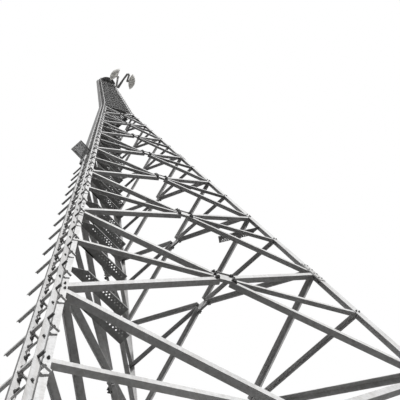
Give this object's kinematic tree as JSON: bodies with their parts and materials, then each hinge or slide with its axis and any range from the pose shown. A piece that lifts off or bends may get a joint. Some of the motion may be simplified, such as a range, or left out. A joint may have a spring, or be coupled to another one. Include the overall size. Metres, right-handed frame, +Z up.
{
  "type": "three-legged self-supporting radio tower, scale model 1:2",
  "caption": "Three-legged tapered lattice tower of steel angles with X-braced faces, a slim mast, ladder, rest platform and dish antennas, as a scale model at 1:2.",
  "frame": {"origin": "middle of the underside of leg A's base plate", "axes": "+Z up, +X from leg A to leg B, +Y from the A-B face towards leg C"},
  "size_m": [3.6432, 3.1551, 26.824],
  "materials": {
    "leg_steel": "hot-dip galvanised, weathered pale",
    "brace_steel": "hot-dip galvanised, weathered",
    "plate_steel": "hot-dip galvanised plate",
    "ladder_steel": "hot-dip galvanised, dull grey",
    "deck_steel": "galvanised tread plate, dull",
    "cable_cover": "grey coated sheet",
    "dish_white": "pale grey paint"
  },
  "bodies": {
    "root": {"base_plate_a": "plate_steel", "base_plate_b": "plate_steel", "base_plate_c": "plate_steel", "bracing_ab_1": "brace_steel", "bracing_ab_2": "brace_steel", "bracing_ab_3": "brace_steel", "bracing_bc_1": "brace_steel", "bracing_bc_2": "brace_steel", "bracing_bc_3": "brace_steel", "bracing_ca_1": "brace_steel", "bracing_ca_2": "brace_steel", "bracing_ca_3": "brace_steel", "cable_arm_b": "cable_cover", "cable_arms_lower": "cable_cover", "cable_arms_upper": "cable_cover", "cable_duct_lower": "cable_cover", "cable_duct_upper": "cable_cover", "ladder_1": "ladder_steel", "ladder_2": "ladder_steel", "ladder_3": "ladder_steel", "leg_a_1": "leg_steel", "leg_a_2": "leg_steel", "leg_a_3": "leg_steel", "leg_b_1": "leg_steel", "leg_b_2": "leg_steel", "leg_b_3": "leg_steel", "leg_c_1": "leg_steel", "leg_c_2": "leg_steel", "leg_c_3": "leg_steel", "mast_bracing_ab": "brace_steel", "mast_bracing_bc": "brace_steel", "mast_bracing_ca": "brace_steel", "mast_ladder": "ladder_steel", "mast_leg_a": "leg_steel", "mast_leg_b": "leg_steel", "mast_leg_c": "leg_steel", "rest_platform": "deck_steel", "side_antenna": "dish_white", "side_antenna_boom": "brace_steel", "splices_a": "plate_steel", "splices_b": "plate_steel", "splices_c": "plate_steel", "top_deck": "deck_steel", "upper_antenna": "dish_white", "upper_antenna_boom": "brace_steel"}
  },
  "joints": []
}
